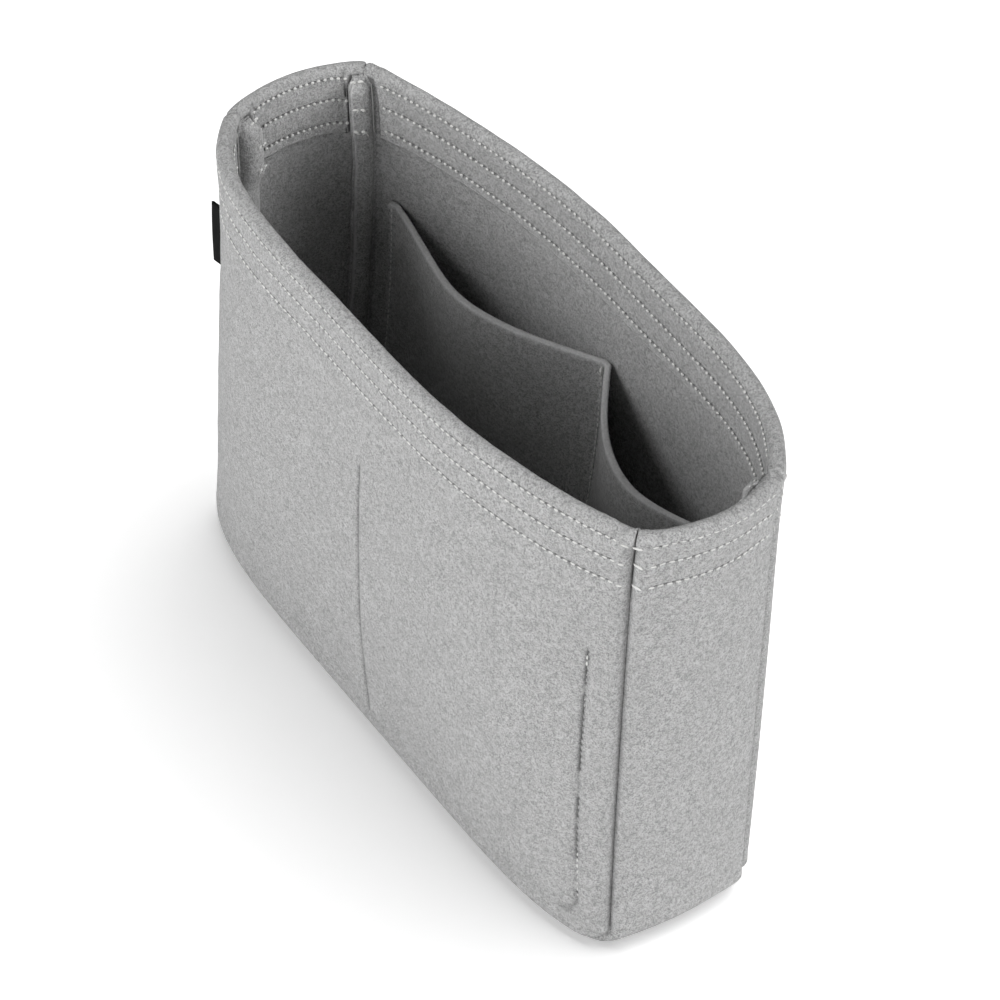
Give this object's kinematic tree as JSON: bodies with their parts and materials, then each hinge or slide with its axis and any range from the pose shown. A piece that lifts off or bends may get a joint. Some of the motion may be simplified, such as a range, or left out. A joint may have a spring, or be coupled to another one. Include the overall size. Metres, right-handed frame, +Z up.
{
  "type": "purse organizer insert",
  "caption": "Open-topped felt organizer insert for a handbag: two bowed walls sewn to a gusset strip, turned-in stitched rim, divided inner pockets and a blank side tab.",
  "frame": {"origin": "on the floor under the middle of the rim, on the flat underside of the base", "axes": "+X along the length towards the right end, +Z up, the front wall faces -Y"},
  "size_m": [0.281, 0.1187, 0.21],
  "materials": {
    "grey_felt": "matte needle-punched felt",
    "pocket_felt": "matte needle-punched felt",
    "polyester_thread": "satin twisted thread",
    "woven_label": "matte woven tape"
  },
  "bodies": {
    "organizer": {"front_panel": "grey_felt", "back_panel": "grey_felt", "gusset_strip": "grey_felt", "front_pocket_panel": "pocket_felt", "back_pocket_panel": "pocket_felt", "rim_thread_upper_outer": "polyester_thread", "rim_thread_upper_inner": "polyester_thread", "rim_thread_middle_outer": "polyester_thread", "rim_thread_middle_inner": "polyester_thread", "rim_thread_lower_outer": "polyester_thread", "rim_thread_lower_inner": "polyester_thread", "front_pocket_thread_outer": "polyester_thread", "front_pocket_thread_inner": "polyester_thread", "front_divider_thread_outer": "polyester_thread", "front_divider_thread_inner": "polyester_thread", "front_seam_thread_panel_side": "polyester_thread", "front_seam_thread_gusset_side": "polyester_thread", "back_pocket_thread_outer": "polyester_thread", "back_pocket_thread_inner": "polyester_thread", "back_divider_thread_outer": "polyester_thread", "back_divider_thread_inner": "polyester_thread", "back_seam_thread_panel_side": "polyester_thread", "back_seam_thread_gusset_side": "polyester_thread", "label_tab_root": "woven_label"},
    "label_tab": {"label_tab": "woven_label"}
  },
  "joints": [
    {"name": "label_tab_swing", "type": "hinge", "parent": "organizer", "child": "label_tab", "pos_m": [-0.13023, -0.02934, 0.1315], "axis": [0.0258, -0.0319, 0.9992], "range_deg": [-68, 112], "stiffness_Nm_per_rad": 0.0005}
  ]
}
